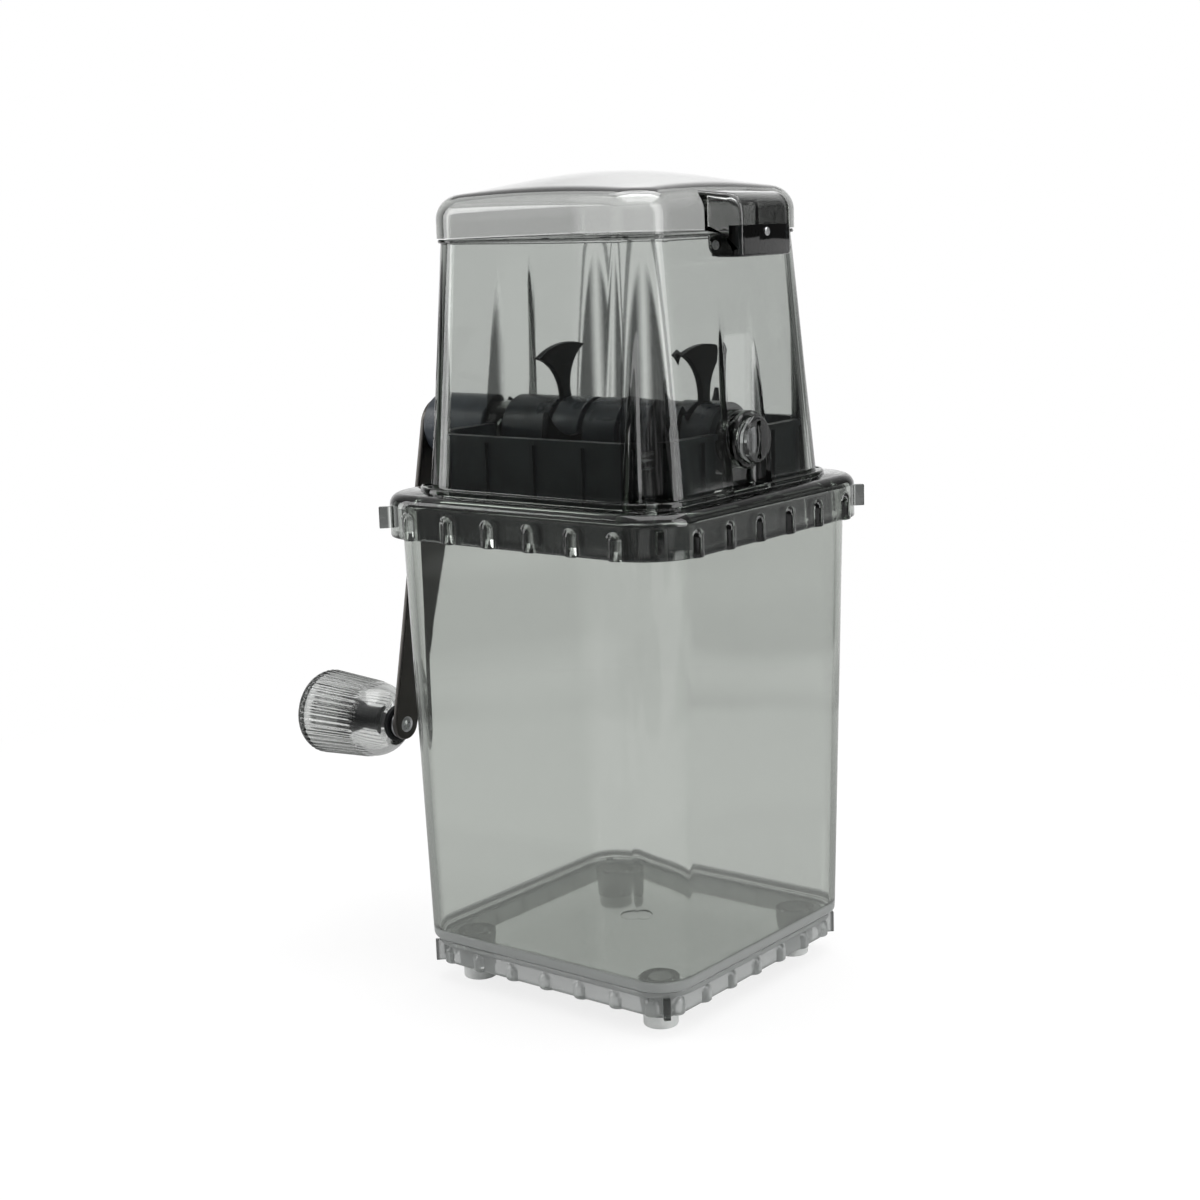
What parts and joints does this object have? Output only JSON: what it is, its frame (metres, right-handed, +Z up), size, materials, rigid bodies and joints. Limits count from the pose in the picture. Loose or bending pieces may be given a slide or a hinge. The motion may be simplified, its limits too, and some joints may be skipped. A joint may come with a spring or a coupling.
{
  "type": "hand cranked ice crusher",
  "caption": "Square clear jar with a lift-off hopper head, hinged domed lid, side crank with ribbed knob, and fishtail blades turning between steel combs.",
  "frame": {"origin": "on the table, at the middle of the four feet", "axes": "+Z up; X along the blade shaft, with the crank on the -X side and the lid's hinge on the +X side; +Y towards the side the hanging crank swings away from"},
  "size_m": [0.1787, 0.1194, 0.262],
  "materials": {
    "smoke_plastic": "clear smoke grey, polished",
    "jar_plastic": "clear smoke grey, polished",
    "base_plastic": "clear smoke grey, polished",
    "lid_plastic": "clear smoke grey, polished",
    "knob_plastic": "clear smoke grey, ribbed",
    "dark_plastic": "black-green, fine moulded grain",
    "blade_steel": "dark stamped steel, oiled",
    "spacer_plastic": "black, smooth",
    "comb_steel": "brushed",
    "shaft_steel": "brushed",
    "arm_steel": "brushed lengthwise",
    "hub_plastic": "dark grey, smooth",
    "screw_steel": "bright zinc",
    "foot_rubber": "translucent pale rubber"
  },
  "bodies": {
    "container": {"container_tub": "jar_plastic", "base_plate": "base_plastic", "foot_pads": "foot_rubber"},
    "head": {"upper_housing": "smoke_plastic", "cassette_frame": "dark_plastic", "breaker_combs": "comb_steel", "housing_screws": "screw_steel", "bearing_plug": "smoke_plastic", "crank_bush": "dark_plastic", "hinge_bracket": "dark_plastic", "hinge_pin": "screw_steel"},
    "lid": {"lid_shell": "lid_plastic", "hinge_block": "dark_plastic", "hinge_block_screw": "screw_steel"},
    "crank": {"blade_shaft": "shaft_steel", "blade_1": "blade_steel", "blade_2": "blade_steel", "blade_3": "blade_steel", "blade_4": "blade_steel", "blade_5": "blade_steel", "shaft_spacers": "spacer_plastic", "crank_hub": "hub_plastic", "crank_arm": "arm_steel", "hub_nut": "screw_steel", "knob_spindle": "shaft_steel", "knob_washer": "shaft_steel"},
    "knob": {"knob_shell": "knob_plastic", "knob_core": "dark_plastic"}
  },
  "joints": [
    {"name": "head_lift", "type": "slide", "parent": "container", "child": "head", "axis": [0, 0, 1], "range_m": [0, 0.06]},
    {"name": "lid_hinge", "type": "hinge", "parent": "head", "child": "lid", "pos_m": [0.0476, 0, 0.2385], "axis": [0, 1, 0], "range_deg": [0, 85]},
    {"name": "crank_turn", "type": "hinge", "parent": "head", "child": "crank", "pos_m": [0, 0, 0.1793], "axis": [1, 0, 0], "continuous": true},
    {"name": "knob_spin", "type": "hinge", "parent": "crank", "child": "knob", "pos_m": [-0.0988, -0.02591, 0.07837], "axis": [1, 0, 0], "continuous": true}
  ]
}
